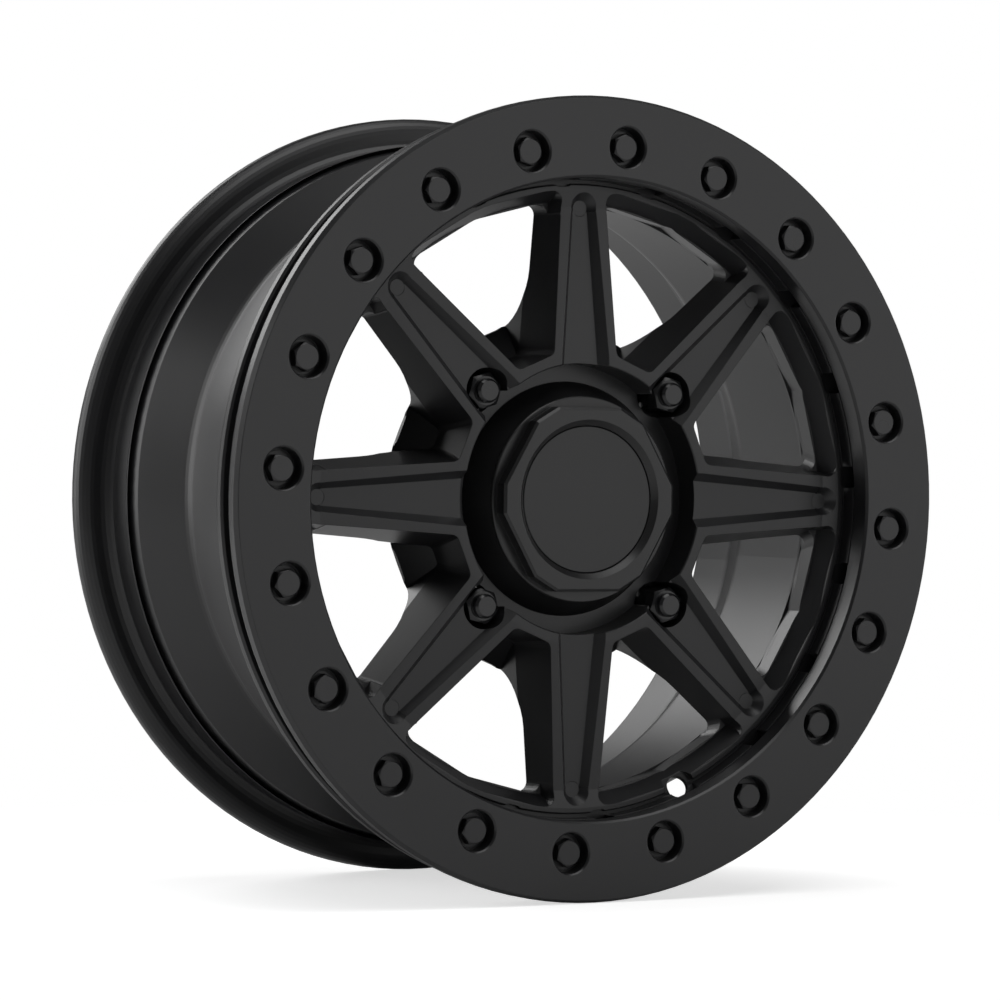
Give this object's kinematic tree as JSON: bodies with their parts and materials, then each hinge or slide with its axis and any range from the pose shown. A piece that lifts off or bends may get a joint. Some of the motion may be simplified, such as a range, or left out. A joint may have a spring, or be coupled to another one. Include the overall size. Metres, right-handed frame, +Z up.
{
  "type": "beadlock wheel",
  "caption": "Off-road beadlock wheel: one-piece cast aluminium wheel with a bolted clamp ring, lug nuts and a snap-in centre cap.",
  "frame": {"origin": "on the wheel's axis, at the centre of the hub mounting face", "axes": "+Y along the axle, inboard; the outboard face with the clamp ring looks to -Y; +Z up, through the centre of a spoke"},
  "size_m": [0.415, 0.2008, 0.415],
  "materials": {
    "casting_coat": "satin",
    "ring_coat": "satin",
    "black_steel": "satin",
    "bare_steel": "satin",
    "nut_steel": "gloss",
    "cap_plastic": "satin",
    "disc_plastic": "satin"
  },
  "bodies": {
    "root": {"wheel_casting": "casting_coat", "rim_front": "casting_coat", "rim_barrel": "casting_coat", "beadlock_ring": "ring_coat", "ring_bolts": "black_steel", "ring_washers": "black_steel", "thread_inserts": "bare_steel", "lug_nuts": "nut_steel", "center_cap": "cap_plastic", "cap_disc": "disc_plastic", "cap_spring_ring": "bare_steel"}
  },
  "joints": []
}
